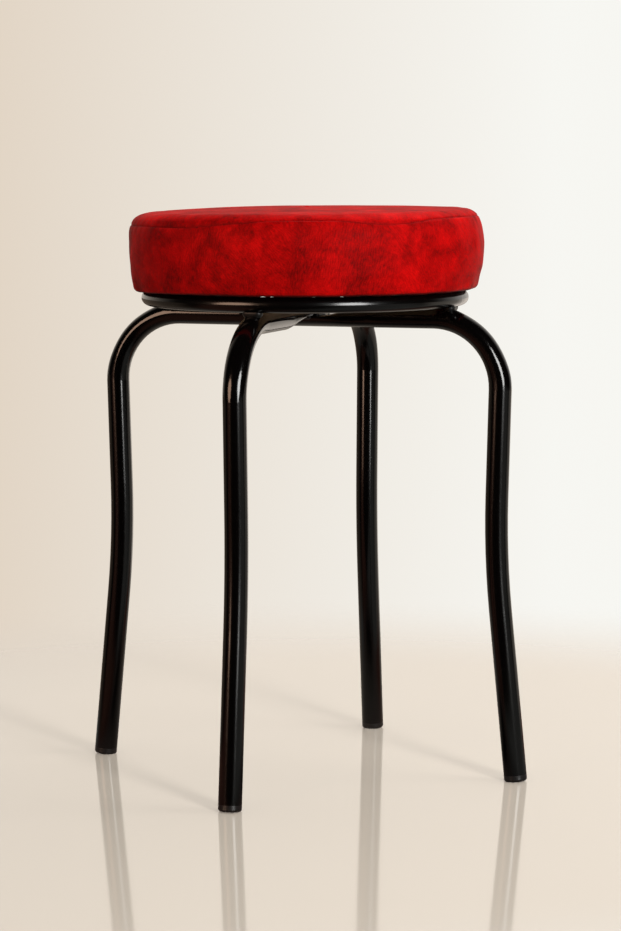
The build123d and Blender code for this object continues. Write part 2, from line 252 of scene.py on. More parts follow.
def vector_calc(tree, operation, *vectors):
    """Outputs of a vector math node."""
    return put(
        tree, "ShaderNodeVectorMath", dict(enumerate(vectors)), operation=operation
    ).outputs


def along(tree, vector, direction):
    """How far a vector reaches in a direction."""
    return vector_calc(tree, "DOT_PRODUCT", vector, direction)["Value"]


def split(tree, vector):
    """X, Y and Z of a vector."""
    return put(tree, "ShaderNodeSeparateXYZ", {0: vector}).outputs


def mapped(tree, vector, **inputs):
    """Vector after a turn or a scaling."""
    return put(tree, "ShaderNodeMapping", {"Vector": vector, **inputs}).outputs[0]


def between(tree, share, a, b):
    """Mix of two values."""
    return put(tree, "ShaderNodeMix", {0: share, 2: a, 3: b}, data_type="FLOAT").outputs[0]


def blend(tree, share, a, b):
    """Mix of two colours."""
    return put(tree, "ShaderNodeMix", {0: share, 6: a, 7: b}, data_type="RGBA").outputs[2]


def mix_shaders(tree, share, a, b):
    """Mix of two shaders."""
    return put(tree, "ShaderNodeMixShader", {0: share, 1: a, 2: b}).outputs[0]


def spread(tree, value, low, high, to_low=0.0, to_high=1.0, **settings):
    """Maps a value from one range to another, clamped."""
    return put(
        tree,
        "ShaderNodeMapRange",
        {"Value": value, "From Min": low, "From Max": high, "To Min": to_low, "To Max": to_high},
        **settings,
    ).outputs[0]


def shade(tree, value, low, high, a, b):
    """Colour that goes from a to b while a value goes from low to high."""
    return blend(tree, spread(tree, value, low, high), a, b)


def ramp(tree, value, stops):
    """Colour ramp through (place, colour) stops."""
    node = put(tree, "ShaderNodeValToRGB", {0: value})
    elements = node.color_ramp.elements
    while len(elements) < len(stops):
        elements.new(1.0)
    for element, (place, colour) in zip(elements, stops):
        element.position = place
        element.color = (*colour, 1.0)
    return node.outputs["Color"]


def cloud(tree, vector, scale, detail=2.0, roughness=0.5, distortion=0.0):
    """Noise value."""
    return put(
        tree,
        "ShaderNodeTexNoise",
        {
            "Vector": vector,
            "Scale": scale,
            "Detail": detail,
            "Roughness": roughness,
            "Distortion": distortion,
        },
    ).outputs["Fac"]


def bump(tree, height, strength, distance):
    """Normal of a bumped surface."""
    return put(
        tree,
        "ShaderNodeBump",
        {"Height": height, "Strength": strength, "Distance": distance},
    ).outputs[0]


def spaced(inputs):
    """Inputs with spaces in place of the underscores in their names."""
    return {name.replace("_", " "): value for name, value in inputs.items()}


def new_group(name, ins, outs):
    """Empty shader group with named sockets, its inner inputs and its end node."""
    tree = bpy.data.node_groups.new(name, "ShaderNodeTree")
    for socket_name, kind, default in ins:
        socket = tree.interface.new_socket(socket_name, in_out="INPUT", socket_type=kind)
        if default is not None:
            socket.default_value = default
    for socket_name, kind in outs:
        tree.interface.new_socket(socket_name, in_out="OUTPUT", socket_type=kind)
    enter = tree.nodes.new("NodeGroupInput")
    leave = tree.nodes.new("NodeGroupOutput")
    return tree, enter.outputs, leave


def use_group(tree, group, **inputs):
    """Places a shader group in a tree."""
    return put(tree, "ShaderNodeGroup", spaced(inputs), node_tree=group).outputs


# Shared effects

STROKE_TURNS = (math.radians(10.0), math.radians(-42.0))
STROKE_STRETCH = (1.0, 0.42, 1.0)
RIPPLE_SHARE = 0.2

# Share of each texture in the vinyl's tone, and the tones of its dark, middle and bright red
CLOUD_SHARE = 0.46
MOTTLE_SHARE = 0.19
STROKE_SHARE = 0.24
FLECK_SHARE = 0.11
DARK_TONE = 0.39
MIDDLE_TONE = 0.49
BRIGHT_TONE = 0.61


def strokes(tree, vector, turn, scale):
    """Short brush-like strokes and ripples at an angle."""
    turned = mapped(tree, vector, Rotation=(0.0, 0.0, turn))
    drawn = mapped(tree, turned, Scale=STROKE_STRETCH)
    ripples = put(
        tree,
        "ShaderNodeTexWave",
        {
            "Vector": drawn,
            "Scale": calc(tree, "MULTIPLY", scale, 0.22),
            "Distortion": 16.0,
            "Detail": 3.0,
            "Detail Scale": 1.1,
        },
    ).outputs["Fac"]
    grains = cloud(tree, drawn, scale, detail=3.0, roughness=0.6, distortion=0.6)
    return between(tree, RIPPLE_SHARE, grains, ripples)


def marbling_group():
    """Cloudy print and brushed emboss of marbled vinyl."""
    tree, enter, leave = new_group(
        "Marbled vinyl",
        [
            ("Vector", "NodeSocketVector", None),
            ("Cloud Scale", "NodeSocketFloat", 35.0),
            ("Stroke Scale", "NodeSocketFloat", 640.0),
            ("Dark", "NodeSocketColor", None),
            ("Middle", "NodeSocketColor", None),
            ("Bright", "NodeSocketColor", None),
        ],
        [("Color", "NodeSocketColor"), ("Height", "NodeSocketFloat"), ("Rub", "NodeSocketFloat")],
    )
    vector = enter["Vector"]
    large = enter["Cloud Scale"]
    small = enter["Stroke Scale"]
    clouds = cloud(tree, vector, large, detail=5.0, roughness=0.64, distortion=0.35)
    upright, leaning = (strokes(tree, vector, turn, small) for turn in STROKE_TURNS)
    swirl = cloud(tree, vector, calc(tree, "MULTIPLY", large, 0.5), detail=1.0)
    brushed = between(tree, spread(tree, swirl, 0.44, 0.56), upright, leaning)
    fleck = cloud(tree, vector, calc(tree, "MULTIPLY", small, 1.4), roughness=0.6)
    mottle_scale = calc(tree, "MULTIPLY", large, 4.2)
    mottle = cloud(tree, vector, mottle_scale, detail=4.0, roughness=0.65, distortion=0.8)
    tone = calc(tree, "MULTIPLY", clouds, CLOUD_SHARE)
    for texture, share in ((mottle, MOTTLE_SHARE), (brushed, STROKE_SHARE), (fleck, FLECK_SHARE)):
        tone = calc(tree, "MULTIPLY_ADD", texture, share, tone)
    low = shade(tree, tone, DARK_TONE, MIDDLE_TONE, enter["Dark"], enter["Middle"])
    colour = shade(tree, tone, MIDDLE_TONE, BRIGHT_TONE, low, enter["Bright"])
    height = calc(tree, "MULTIPLY_ADD", fleck, 0.3, brushed)
    fill(tree, leave, {"Color": colour, "Height": height, "Rub": brushed})
    return tree


def soil_group():
    """Dust and fine scuffs, as a mask."""
    tree, enter, leave = new_group(
        "Dust and scuffs",
        [
            ("Vector", "NodeSocketVector", None),
            ("Speck Scale", "NodeSocketFloat", 900.0),
            ("Amount", "NodeSocketFloat", 0.5),
        ],
        [("Mask", "NodeSocketFloat"), ("Height", "NodeSocketFloat")],
    )
    vector = enter["Vector"]
    patches = spread(tree, cloud(tree, vector, 24.0, detail=4.0, roughness=0.6), 0.42, 0.7)
    specks = spread(tree, cloud(tree, vector, enter["Speck Scale"]), 0.62, 0.74)
    drawn = mapped(tree, vector, Scale=(9.0, 9.0, 0.6))
    lines = cloud(tree, drawn, 130.0, detail=3.0, roughness=0.6, distortion=0.3)
    both = calc(tree, "MAXIMUM", specks, spread(tree, lines, 0.66, 0.74))
    mask = calc(tree, "MULTIPLY", calc(tree, "MULTIPLY", both, patches), enter["Amount"])
    fill(tree, leave, {"Mask": mask, "Height": calc(tree, "MULTIPLY", specks, patches)})
    return tree


def peel_group():
    """Fine waviness of a sprayed or moulded skin."""
    tree, enter, leave = new_group(
        "Skin waviness",
        [
            ("Vector", "NodeSocketVector", None),
            ("Scale", "NodeSocketFloat", 700.0),
            ("Swell", "NodeSocketFloat", 0.4),
        ],
        [("Height", "NodeSocketFloat")],
    )
    fine = cloud(tree, enter["Vector"], enter["Scale"])
    broad = cloud(tree, enter["Vector"], calc(tree, "MULTIPLY", enter["Scale"], 0.12), detail=1.0)
    fill(tree, leave, {"Height": calc(tree, "MULTIPLY_ADD", broad, enter["Swell"], fine)})
    return tree


class Effects:
    """The shared groups, each made once."""

    made = {}
    makers = {"marbling": marbling_group, "soil": soil_group, "peel": peel_group}

    @classmethod
    def get(cls, name):
        if name not in cls.made:
            cls.made[name] = cls.makers[name]()
        return cls.made[name]


# Materials

# Dark red of the painted shade under the turned hem and along the seams
PAINTED_SHADE = (0.02, 0.004, 0.004, 1.0)
LACQUER_DUST = (0.05, 0.042, 0.035, 1.0)
CAP_DUST = (0.22, 0.20, 0.18, 1.0)
ZINC_STAIN = (0.30, 0.27, 0.22, 1.0)
# Share of the painted shade along the seams
SEAM_SHADE_SHARE = 0.32
DULL_RANGE = 0.07


def new_material(name):
    """Material with its tree, shader and object coordinates."""
    material = bpy.data.materials.new(name)
    material.use_nodes = True
    tree = material.node_tree
    shader = tree.nodes["Principled BSDF"]
    where = put(tree, "ShaderNodeTexCoord").outputs["Object"]
    return material, tree, shader, where


def set_shader(tree, shader, **inputs):
    """Sets or links inputs of the shader."""
    fill(tree, shader, spaced(inputs))


def colour_of(name):
    """Colour setting with its alpha."""
    return (*getattr(bpy.context.scene.stool_colours, name), 1.0)


def vinyl_material(name, wrapped, dull):
    """Marbled red vinyl, wrapped round the seat's side or laid flat, with painted shade under the hem
    and along the seams.
    """
    material, tree, shader, where = new_material(name)
    if wrapped:
        axes = split(tree, where)
        angle = calc(tree, "ARCTAN2", axes["X"], calc(tree, "MULTIPLY", axes["Y"], -1.0))
        girth = calc(tree, "MULTIPLY", angle, band_high.x)
        where = put(tree, "ShaderNodeCombineXYZ", {"X": girth, "Y": axes["Z"]}).outputs[0]
    vinyl = use_group(
        tree,
        Effects.get("marbling"),
        Vector=where,
        Dark=colour_of("vinyl_dark"),
        Middle=colour_of("vinyl_middle"),
        Bright=colour_of("vinyl_bright"),
    )
    # Painted shade: faces that look down, under the turned hem, and the seams are darkened towards a
    # dark red
    facing = split(tree, put(tree, "ShaderNodeNewGeometry").outputs["Normal"])["Z"]
    below = spread(tree, facing, -0.6, -0.95, 0.0, 0.9)
    seam_shade = put(tree, "ShaderNodeAttribute", attribute_name="seam_shade").outputs["Fac"]
    painted_shade = calc(tree, "MAXIMUM", below, calc(tree, "MULTIPLY", seam_shade, SEAM_SHADE_SHARE))
    set_shader(
        tree,
        shader,
        Base_Color=blend(tree, painted_shade, vinyl["Color"], PAINTED_SHADE),
        Roughness=spread(tree, vinyl["Rub"], 0.3, 0.7, dull - DULL_RANGE, dull + DULL_RANGE),
        Normal=bump(tree, vinyl["Height"], strength=0.3, distance=0.0005),
        Specular_IOR_Level=0.03,
    )
    return material


def lacquer_material(name, dull, peel_scale=620.0, peel_strength=0.03):
    """Gloss black lacquer with fine dust."""
    material, tree, shader, where = new_material(name)
    soil = use_group(tree, Effects.get("soil"), Vector=where, Speck_Scale=1100.0, Amount=0.2)
    peel = use_group(tree, Effects.get("peel"), Vector=where, Scale=peel_scale, Swell=0.5)
    set_shader(
        tree,
        shader,
        Base_Color=blend(tree, soil["Mask"], colour_of("lacquer"), LACQUER_DUST),
        Roughness=calc(tree, "MULTIPLY_ADD", soil["Mask"], 0.4, dull),
        Normal=bump(tree, peel["Height"], strength=peel_strength, distance=0.0003),
        Specular_IOR_Level=0.42,
    )
    return material


def cap_material():
    """Black moulded plastic, scuffed and dusty near the floor."""
    material, tree, shader, where = new_material("Foot cap plastic")
    soil = use_group(tree, Effects.get("soil"), Vector=where, Speck_Scale=700.0, Amount=1.0)
    peel = use_group(tree, Effects.get("peel"), Vector=where, Scale=1500.0, Swell=0.3)
    near_floor = spread(tree, split(tree, where)["Z"], 0.0, 0.004, 1.0, 0.15)
    dusty = calc(tree, "MULTIPLY", soil["Mask"], near_floor)
    set_shader(
        tree,
        shader,
        Base_Color=blend(tree, dusty, colour_of("cap"), CAP_DUST),
        Roughness=calc(tree, "MULTIPLY_ADD", dusty, 0.4, 0.3),
        Normal=bump(tree, peel["Height"], strength=0.25, distance=0.0003),
    )
    return material


def plywood_material():
    """Bare plywood with grain along X and darker pores."""
    material, tree, shader, where = new_material("Seat board plywood")
    drawn = mapped(tree, where, Scale=(0.5, 7.0, 7.0))
    grain = cloud(tree, drawn, 34.0, detail=6.0, roughness=0.6, distortion=0.8)
    pores = cloud(tree, drawn, 210.0, detail=3.0, roughness=0.6)
    wood = colour_of("plywood")[:3]
    light = [level * 1.25 for level in wood]
    dark = [level * share for level, share in zip(wood, (0.62, 0.58, 0.52))]
    figure = ramp(tree, grain, [(0.3, dark), (0.52, wood), (0.72, light)])
    set_shader(
        tree,
        shader,
        Base_Color=blend(tree, spread(tree, pores, 0.6, 0.75, 0.0, 0.5), figure, (*dark, 1.0)),
        Roughness=spread(tree, grain, 0.3, 0.7, 0.75, 0.6),
        Normal=bump(tree, pores, strength=0.2, distance=0.0004),
    )
    return material


def zinc_material():
    """Zinc-plated steel with fine scuffs."""
    material, tree, shader, where = new_material("Zinc plating")
    soil = use_group(tree, Effects.get("soil"), Vector=where, Speck_Scale=1600.0, Amount=0.8)
    set_shader(
        tree,
        shader,
        Base_Color=blend(tree, soil["Mask"], colour_of("zinc"), ZINC_STAIN),
        Metallic=1.0,
        Roughness=calc(tree, "MULTIPLY_ADD", soil["Mask"], 0.35, 0.3),
        Normal=bump(tree, soil["Height"], strength=0.15, distance=0.0002),
    )
    return material


def dress(nodes, material):
    """Gives CAD nodes a finish."""
    for name in nodes:
        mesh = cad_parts[name].data
        mesh.materials.clear()
        mesh.materials.append(material)


# Outline of the seat

# Points on the outline's parts, and the spacing of those on the hem
HEM_SPACING = 0.0006
ROLL_STEPS = 12
BAND_STEPS = 60
NECK_STEPS = 40
SHOULDER_STEPS = 40
CROWN_STEPS = 80
NORMAL_REACH = 0.0008

# Rows of the skin, in metres along the outline: closest at the seam, wider down the side
# and widest on the top, with a gap at its middle
SEAM_STEP = 0.0004
SEAM_REACH = 0.0012
SIDE_GROWTH = 0.22
SIDE_STEP = 0.0016
TOP_START = 0.03
TOP_GROWTH = 0.06
TOP_STEP = 0.005
MIDDLE_GAP = 0.004


def arc_radius(run, lean):
    """Radius of an arc that leaves a line by lean over a run along it."""
    return (lean * lean + run * run) / (2 * abs(lean))


def arc_lean(radius, run):
    """How far an arc has left its line after a run along it."""
    return radius - math.sqrt(radius * radius - run * run)


def side_arc(start, end, steps, upright_end):
    """Points after start on an arc that is upright at its end or at its start."""
    (r0, z0), (r1, z1) = start, end
    height, inset = z1 - z0, r1 - r0
    radius = arc_radius(height, inset)
    points = []
    for step in range(1, steps + 1):
        rise = height * (step / steps)
        if upright_end:
            r = r1 - math.copysign(arc_lean(radius, height - rise), inset)
        else:
            r = r0 + math.copysign(arc_lean(radius, rise), inset)
        points.append((r, z0 + rise))
    return points


def top_arc(start, end, steps):
    """Points after start on an arc that is level at its end."""
    (r0, z0), (r1, z1) = start, end
    width = r0 - r1
    radius = arc_radius(width, z1 - z0)
    runs = [width * (step / steps) for step in range(1, steps + 1)]
    return [(r0 - run, z1 - arc_lean(radius, width - run)) for run in runs]


def seat_outline(sizes):
    """Outline of the cover from the hem's inner edge to the top's middle, and the seam's place."""
    bottom = band_low.z
    side = board_high.x + sizes.vinyl
    roll = sizes.hem_roll
    bulge = (band_high.x, board_high.z + sizes.bulge_height)
    seam = (side - sizes.seam_depth, band_high.z)
    shoulder = (side - sizes.shoulder_depth, panel_high.z - sizes.crown)
    hem_steps = int((sizes.hem_width - roll) / HEM_SPACING)
    outline = [(side - sizes.hem_width + HEM_SPACING * step, bottom) for step in range(hem_steps)]
    for step in range(ROLL_STEPS + 1):
        turn = math.pi / 2 * step / ROLL_STEPS
        outline.append((side - roll + roll * math.sin(turn), bottom + roll - roll * math.cos(turn)))
    outline += side_arc((side, bottom + roll), bulge, BAND_STEPS, upright_end=True)
    outline += side_arc(bulge, seam, NECK_STEPS, upright_end=False)
    seam_index = len(outline) - 1
    outline += top_arc(seam, shoulder, SHOULDER_STEPS)
    outline += top_arc(shoulder, (0.0, panel_high.z), CROWN_STEPS)
    return outline, seam_index


class Outline:
    """Outline by length, with points and outward normals at any length."""

    def __init__(self, points, seam_index):
        self.points = [Vector((r, 0.0, z)) for r, z in points]
        self.lengths = [0.0]
        for a, b in zip(self.points, self.points[1:]):
            self.lengths.append(self.lengths[-1] + (b - a).length)
        self.seam = self.lengths[seam_index]
        self.whole = self.lengths[-1]

    def at(self, length):
        """Point at a length."""
        length = min(max(length, 0.0), self.whole)
        low = min(bisect_right(self.lengths, length), len(self.lengths) - 1) - 1
        span = self.lengths[low + 1] - self.lengths[low]
        share = (length - self.lengths[low]) / span if span else 0.0
        return self.points[low].lerp(self.points[low + 1], share)

    def normal(self, length):
        """Outward normal at a length."""
        run = self.at(length + NORMAL_REACH) - self.at(length - NORMAL_REACH)
        return Vector((run.z, 0.0, -run.x)).normalized()


def stations(outline):
    """Lengths of the rows of the skin, with one on the seam."""
    rows = [0.0]
    while rows[-1] < outline.whole - MIDDLE_GAP:
        here = rows[-1]
        off_seam = abs(here - outline.seam)
        step = SEAM_STEP + min(SIDE_STEP, SIDE_GROWTH * max(off_seam - SEAM_REACH, 0.0))
        if here > outline.seam + TOP_START:
            step = min(TOP_STEP, SIDE_STEP + TOP_GROWTH * (here - outline.seam - TOP_START))
        if here < outline.seam < here + step:
            rows.append(outline.seam)
        else:
            rows.append(here + step)
    return rows


# Skin of the seat

# Pad against the board's top edge, in metres below and above it
PAD_BELOW = 0.004
PAD_ABOVE = 0.008

# Seam: widths of its groove, painted shade and shoulder, and its puckers
GROOVE_WIDTH = 0.0011
SEAM_SHADE_WIDTH = 0.001
SHOULDER_WIDTH = 0.016
PUCKERS = 72
PUCKER_DRIFT = 2.5
PUCKER_SCALE = 7.0
PUCKER_DEPTH = 0.00014
PUCKER_WIDTH = 0.011
PUCKER_START = 0.0004
PUCKER_FULL = 0.0016

# Upright seam of the band, with extra columns at these millimetres from it
BACK_SEAM_ANGLE = math.radians(109.0)
BACK_SEAM_WIDTH = 0.0009
BACK_SEAM_SHARE = 0.8
BACK_SEAM_COLUMNS = (-2.4, -1.6, -0.9, -0.4, 0.0, 0.4, 0.9, 1.6, 2.4)
BACK_SEAM_CLEAR = 3.0

# Unevenness of the pad on the band, how much less it is on the top, and its scales
UNEVEN = 0.0008
UNEVEN_LESS = 0.0005
UNEVEN_REACH = 0.02
UNEVEN_ROUND = 20.0
UNEVEN_ALONG = 38.0

# Pull of the tacks under the board
TACKS = 24
TACK_START = math.pi / 4
TACK_PULL = 0.0003
TACK_HEIGHT = 0.006
TACK_REACH = 0.010

# Hem: waves as millimetres and scales, where it rests on the ring, and gaps that let light through
HEM_WAVES = ((0.3, 17.0), (0.2, 41.0))
HEM_DROP = 0.3
HEM_RISE = 0.0006
HEM_RISE_MOST = 0.0005
HEM_START = 0.003
HEM_END = 0.004
RING_OVERLAP = 0.0015
BOARD_OVERLAP = 0.002
REST_START = 0.120
REST_FULL = 0.126
REST_SHARE = 0.85
GAP_SCALE = 31.0
GAP_SHIFT = Vector((4.0, 0.0, 0.0))
GAP_LEVEL = 0.05
GAP_RISE = 0.0022
GAP_RISE_MOST = 0.0006

# Sideways drift of the cover on its frame, in millimetres at the hem and more of it in the pad
DRIFT_ANGLE = math.radians(19.0)
DRIFT_HEM = 0.35
DRIFT_PAD = 1.05

# Cloth simulation of the cover: how far inside its finished form it starts, the spacing of
# its grid, its pressure and frames, and how much larger than its start it is cut
SLACK = 0.0012
CLOTH_STEP = 0.006
CLOTH_COLUMNS = 72
CLOTH_PRESSURE = 12.0
CLOTH_FRAMES = 20
CLOTH_GROWTH = 0.008

# Share of the slack that the seam takes away near it, and how far up the top and down the band
HELD_SHARE = 0.9
HELD_TOP = 0.05
HELD_BAND = 0.02
PINNED_BELOW = 0.02 * MILLIMETRE


def fold(share):
    """Smooth bump, 1 at 0 and 0 at 1."""
    share = min(abs(share), 1.0)
    return (1 - share * share) ** 2


def step_up(value, low, high):
    """Smooth step from 0 at low to 1 at high."""
    share = min(max((value - low) / (high - low), 0.0), 1.0)
    return share * share * (3 - 2 * share)


def dip(offset, width):
    """Narrow bell, 1 at no offset."""
    return math.exp(-((offset / width) ** 2))


def bumps(angle, places):
    """Sum in metres of the bumps round the seat at an angle."""
    total = 0.0
    for place in places:
        off = (angle - math.radians(place.angle) + math.pi) % FULL_TURN - math.pi
        total += place.amount * fold(off / math.radians(place.half_width))
    return total * MILLIMETRE


def columns(count):
    """Angles of the columns, with extra ones at the band's upright seam."""
    extra = [BACK_SEAM_ANGLE + offset / band_high.x * MILLIMETRE for offset in BACK_SEAM_COLUMNS]
    clear = BACK_SEAM_CLEAR * MILLIMETRE
    plain = [FULL_TURN * column / count for column in range(count)]
    kept = [angle for angle in plain if abs(angle - BACK_SEAM_ANGLE) * band_high.x > clear]
    return sorted(kept + extra)


def hem_rise(point, angle, here):
    """Rise of the turned hem: it rests on the ring and waves outside it."""
    waves = sum(amount * noise.noise(here * scale) for amount, scale in HEM_WAVES) + HEM_DROP
    edge = min(HEM_RISE + bumps(angle, HEM_SAGS) - waves * MILLIMETRE, HEM_RISE_MOST)
    outside = step_up(point.x, ring_high.x - RING_OVERLAP, board_high.x - BOARD_OVERLAP)
    low = 1.0 - step_up(point.z, band_low.z + HEM_START, board_high.z + HEM_END)
    resting = step_up(point.x, REST_START, REST_FULL) * (1.0 - outside)
    lifted = max(noise.noise(here * GAP_SCALE + GAP_SHIFT) - GAP_LEVEL, 0.0)
    gap = min(lifted * GAP_RISE, GAP_RISE_MOST)
    above_ring = band_low.z - ring_high.z
    return low * (edge * outside + resting * (gap - above_ring * REST_SHARE))


def skin_point(outline, row, angle, sizes, swollen):
    """Point of the cover's skin on a row of the outline, at an angle round the seat.

    swollen is the share of its slack that the cover has taken up there.
    """
    here = Vector((math.cos(angle), math.sin(angle), 0.0))
    seam = outline.seam + bumps(angle, SEAM_SAGS)
    if row <= outline.seam:
        length = row * seam / outline.seam
    else:
        length = seam + (row - outline.seam) * (outline.whole - seam) / (outline.whole - outline.seam)
    point = outline.at(length)
    off_seam = length - seam
    soft = step_up(point.z, board_high.z - PAD_BELOW, board_high.z + PAD_ABOVE)
    lift = -sizes.groove * dip(off_seam, GROOVE_WIDTH)
    lift += bumps(angle, SHOULDER_SWELLS) * fold(off_seam / SHOULDER_WIDTH)
    uneven = UNEVEN - UNEVEN_LESS * step_up(off_seam, 0.0, UNEVEN_REACH)
    spot = here * point.x * UNEVEN_ROUND + Vector((0.0, 0.0, length * UNEVEN_ALONG))
    lift += uneven * noise.noise(spot) * soft
    near_seam = fold(off_seam / (HELD_TOP if off_seam > 0.0 else HELD_BAND))
    lift -= (1.0 - swollen) * SLACK * soft * (1.0 - HELD_SHARE * near_seam)
    pucker = math.sin(angle * PUCKERS + PUCKER_DRIFT * noise.noise(here * PUCKER_SCALE))
    pucker *= fold(off_seam / PUCKER_WIDTH)
    lift += PUCKER_DEPTH * pucker * step_up(abs(off_seam), PUCKER_START, PUCKER_FULL)
    tack = math.cos((angle - TACK_START) * TACKS)
    lift += TACK_PULL * tack * fold((point.z - band_low.z - TACK_HEIGHT) / TACK_REACH)
    if row < outline.seam:
        off_back = (angle - BACK_SEAM_ANGLE) * point.x
        lift -= sizes.groove * BACK_SEAM_SHARE * dip(off_back, BACK_SEAM_WIDTH)
    crown = bumps(angle, CROWN_SAGS) * point.x / board_high.x
    rise = crown * step_up(point.z, board_high.z, band_high.z) + hem_rise(point, angle, here)
    drift = (DRIFT_HEM + DRIFT_PAD * soft) * MILLIMETRE
    point = point + outline.normal(length) * lift
    return Vector(
        (
            here.x * point.x + drift * math.cos(DRIFT_ANGLE),
            here.y * point.x + drift * math.sin(DRIFT_ANGLE),
            point.z + rise,
        )
    )


def seam_shade_rows(outline, rows, sizes, upright):
    """Grid of the painted shade along the seams, 1 in a seam, with the band's upright seam if wanted.
    """
    offsets = [(angle - BACK_SEAM_ANGLE) * band_high.x for angle in columns(sizes.segments)]
    back = [dip(offset, BACK_SEAM_WIDTH) if upright else 0.0 for offset in offsets]
    levels = [dip(row - outline.seam, SEAM_SHADE_WIDTH) for row in rows]
    return [[max(level, depth) for depth in back] for level in levels]


def cloth_rows(outline):
    """Lengths of the rows of the simulated grid, with one on the seam."""
    end = outline.whole - MIDDLE_GAP
    below = round(outline.seam / CLOTH_STEP)
    above = round((end - outline.seam) / CLOTH_STEP)
    rows = [outline.seam * step / below for step in range(below)]
    return rows + [outline.seam + (end - outline.seam) * step / above for step in range(above + 1)]


def simulate(start, held):
    """Places of a grid's points after the air in the pad has swelled it, held at some points."""
    form = bmesh.new()
    verts = [[form.verts.new(point) for point in line] for line in start]
    add_quads(form, verts, False)
    form.faces.new(verts[-1])
    cover = finish_mesh("slack_cover", form)
    pins = cover.vertex_groups.new(name="held")
    pins.add(held, 1.0, "REPLACE")
    cloth = cover.modifiers.new("Swelling", "CLOTH")
    cloth.settings.vertex_group_mass = pins.name
    cloth.settings.use_pressure = True
    cloth.settings.uniform_pressure_force = CLOTH_PRESSURE
    cloth.settings.shrink_min = -CLOTH_GROWTH
    cloth.settings.effector_weights.gravity = 0.0
    cloth.point_cache.frame_end = CLOTH_FRAMES
    scene = bpy.context.scene
    for number in range(1, CLOTH_FRAMES + 1):
        scene.frame_set(number)
    swollen = cover.evaluated_get(bpy.context.evaluated_depsgraph_get()).data
    places = [vert.co.copy() for vert in swollen.vertices]
    scene.frame_set(1)
    mesh = cover.data
    bpy.data.objects.remove(cover)
    bpy.data.meshes.remove(mesh)
    return places


def cubic(a, b, c, d, share):
    """Smooth curve from b to c through four values."""
    bend = 2 * a - 5 * b + 4 * c - d + share * (3 * (b - c) + d - a)
    return b + 0.5 * share * (c - a + share * bend)


def clamped(value):
    """Value kept from 0 to 1."""
    return min(max(value, 0.0), 1.0)


class Swelling:
    """Share of its slack that the cover takes up, from a cloth simulation on a coarse grid."""

    def __init__(self, outline, sizes):
        self.rows = cloth_rows(outline)
        angles = [FULL_TURN * column / CLOTH_COLUMNS for column in range(CLOTH_COLUMNS)]
        start, full = (
            [[skin_point(outline, row, angle, sizes, share) for angle in angles] for row in self.rows]
            for share in (0.0, 1.0)
        )
        begun = [point for line in start for point in line]
        paths = [after - before for before, after in zip(begun, (p for line in full for p in line))]
        seam = self.rows.index(outline.seam) * CLOTH_COLUMNS
        held = [index for index, path in enumerate(paths) if path.length < PINNED_BELOW]
        places = simulate(start, held + list(range(seam, seam + CLOTH_COLUMNS)))
        shares = [
            clamped((place - point).dot(path) / path.length_squared) if path.length else 1.0
            for place, point, path in zip(places, begun, paths)
        ]
        firsts = range(0, len(shares), CLOTH_COLUMNS)
        self.shares = [shares[first : first + CLOTH_COLUMNS] for first in firsts]

    def at(self, row, angle):
        """Share on a row, at an angle."""
        last = len(self.rows) - 1
        index = min(max(bisect_right(self.rows, row) - 1, 0), last - 1)
        rise = (row - self.rows[index]) / (self.rows[index + 1] - self.rows[index])
        turn = angle / FULL_TURN * CLOTH_COLUMNS
        column = math.floor(turn)
        near = (-1, 0, 1, 2)
        lines = [self.shares[min(max(index + step, 0), last)] for step in near]
        across = [
            cubic(*(line[(column + step) % CLOTH_COLUMNS] for step in near), turn - column)
            for line in lines
        ]
        return clamped(cubic(*across, min(rise, 1.0)))


def skin_rows(outline, rows, sizes):
    """Grid of skin points, row by row."""
    angles = columns(sizes.segments)
    swelling = Swelling(outline, sizes)
    return [
        [skin_point(outline, row, angle, sizes, swelling.at(row, angle)) for angle in angles]
        for row in rows
    ]


class SeatForm:
    """Grid of the seat's skin, made once for the pieces that share it."""

    made = None

    @classmethod
    def get(cls):
        if cls.made is None:
            sizes = bpy.context.scene.stool_seat
            outline = Outline(*seat_outline(sizes))
            rows = stations(outline)
            cls.made = outline, rows, skin_rows(outline, rows, sizes)
        return cls.made


# Meshes


def grid_normals(rows):
    """Outward normals of a grid that closes round the seat."""
    count = len(rows[0])
    normals = []
    for index, row in enumerate(rows):
        under = rows[max(index - 1, 0)]
        over = rows[min(index + 1, len(rows) - 1)]
        line = []
        for column in range(count):
            across = row[(column + 1) % count] - row[column - 1]
            line.append(across.cross(over[column] - under[column]).normalized())
        normals.append(line)
    return normals


def add_quads(form, grid, flip):
    """Faces between the rows of a grid that closes round the seat."""
    count = len(grid[0])
    for low, high in zip(grid, grid[1:]):
        for column in range(count):
            after = (column + 1) % count
            corners = (low[column], low[after], high[after], high[column])
            form.faces.new(corners[::-1] if flip else corners)


def add_fan(form, line, flip):
    """Faces between the last row of a grid and a point in its middle."""
    count = len(line)
    middle = form.verts.new(sum((vert.co for vert in line), Vector()) / count)
    for column in range(count):
        corners = (line[column], line[(column + 1) % count], middle)
        form.faces.new(corners[::-1] if flip else corners)


